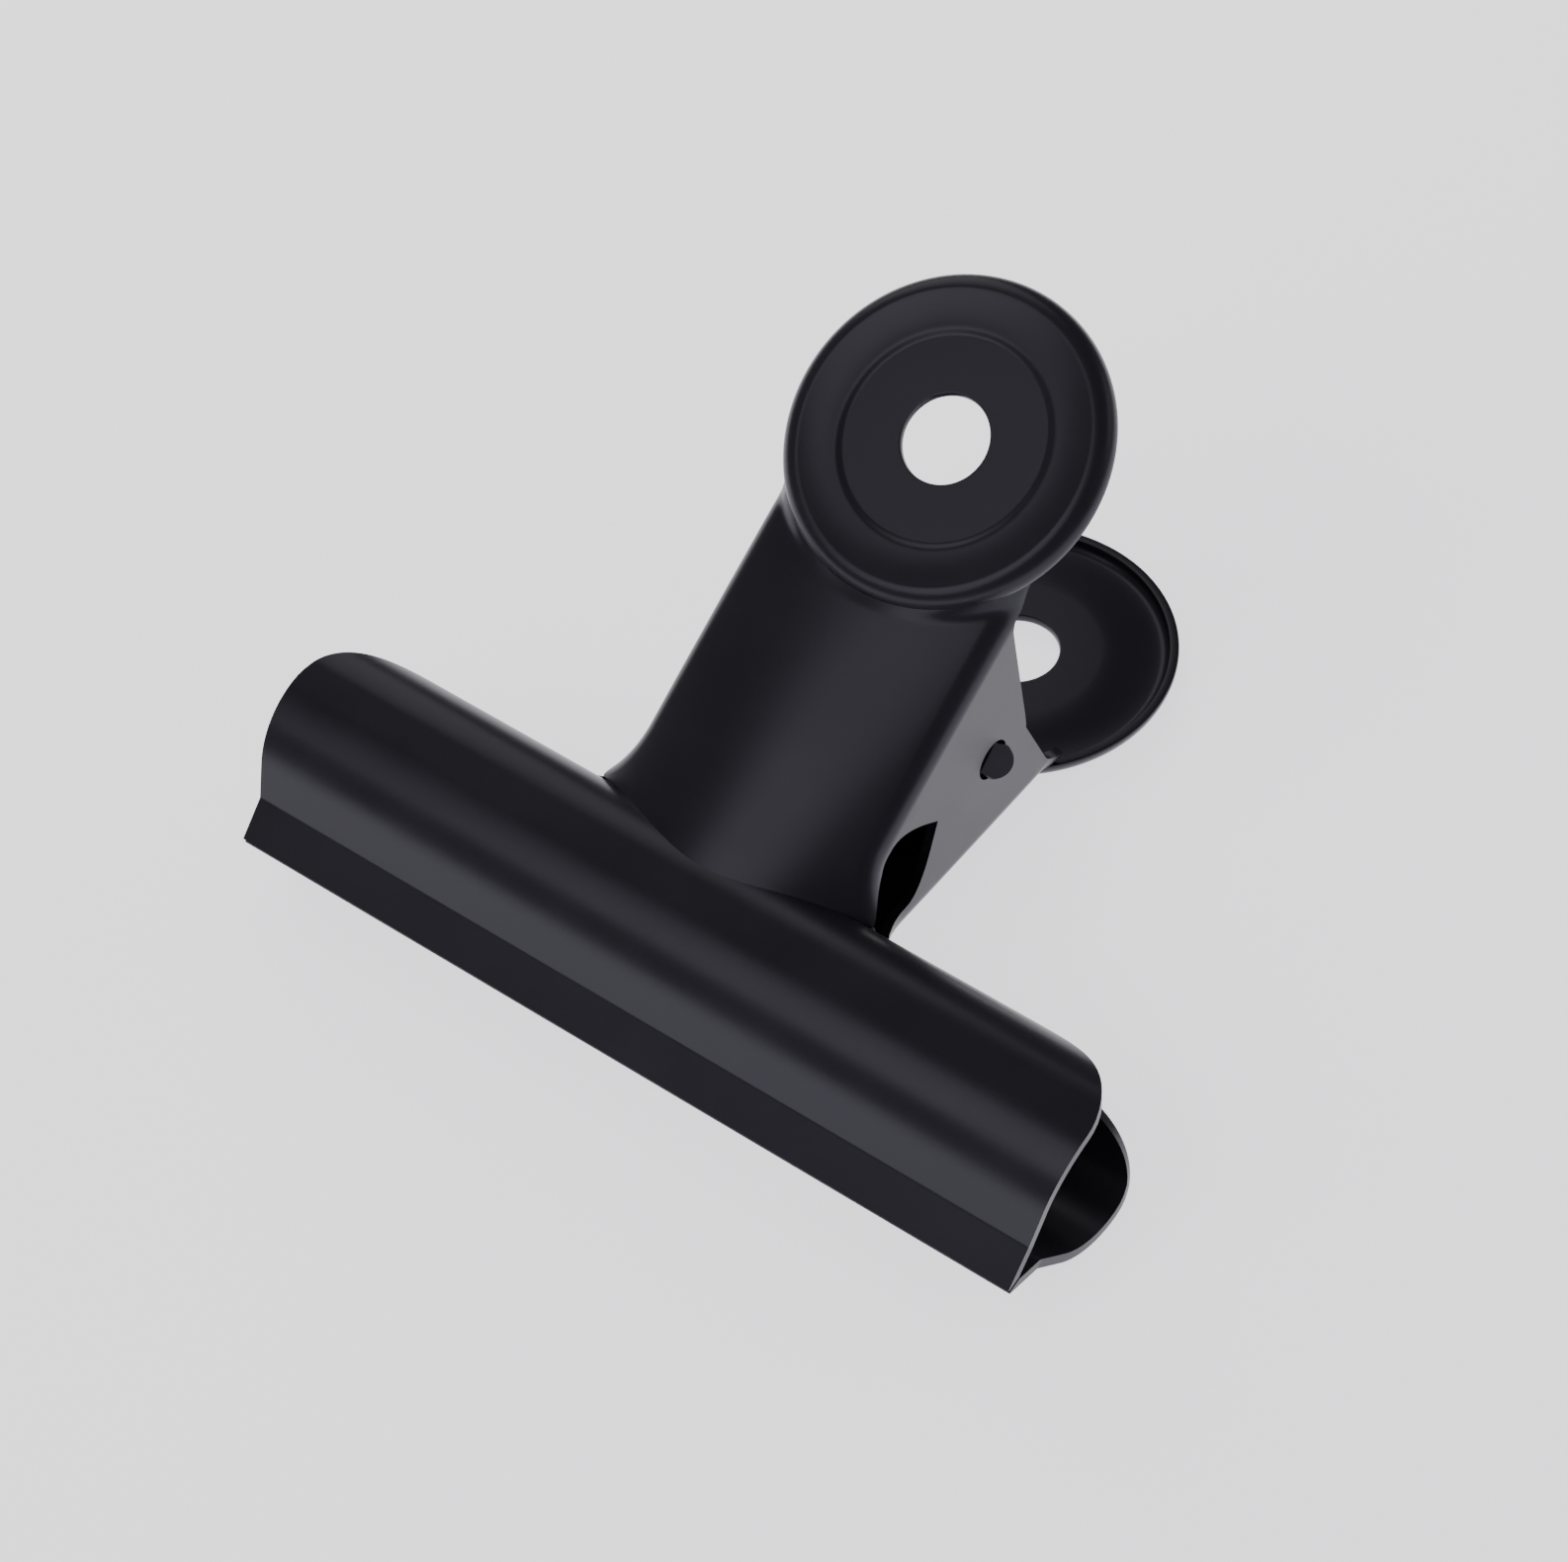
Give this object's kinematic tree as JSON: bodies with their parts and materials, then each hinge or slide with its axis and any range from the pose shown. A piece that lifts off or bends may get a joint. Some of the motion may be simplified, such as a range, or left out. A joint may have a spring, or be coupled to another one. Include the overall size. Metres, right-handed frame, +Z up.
{
  "type": "bulldog_clip",
  "caption": "Sheet-steel bulldog-style binder clip: two sprung plates with long gripping jaws and round dished finger disks, hinged on tabs through side ears.",
  "frame": {"origin": "Centre of the clip's bounding box in plan, on the surface it lies on (z = 0).", "axes": "+X runs along the jaws, +Y from the gripping edge towards the finger disks, +Z up from the surface the clip lies on."},
  "size_m": [0.0766, 0.0672, 0.0409],
  "materials": {
    "black_coat": "satin",
    "spring_steel": "satin"
  },
  "bodies": {
    "back": {"back_plate": "black_coat", "spring": "spring_steel"},
    "front": {"front_plate": "black_coat"}
  },
  "joints": [
    {"name": "jaw_hinge", "type": "hinge", "parent": "back", "child": "front", "pos_m": [0, 0.00134, 0.01387], "axis": [-1, 0, 0], "range_deg": [0, 64], "stiffness_Nm_per_rad": 0.35, "springref_deg": -40.11, "deforming": ["spring"]}
  ]
}
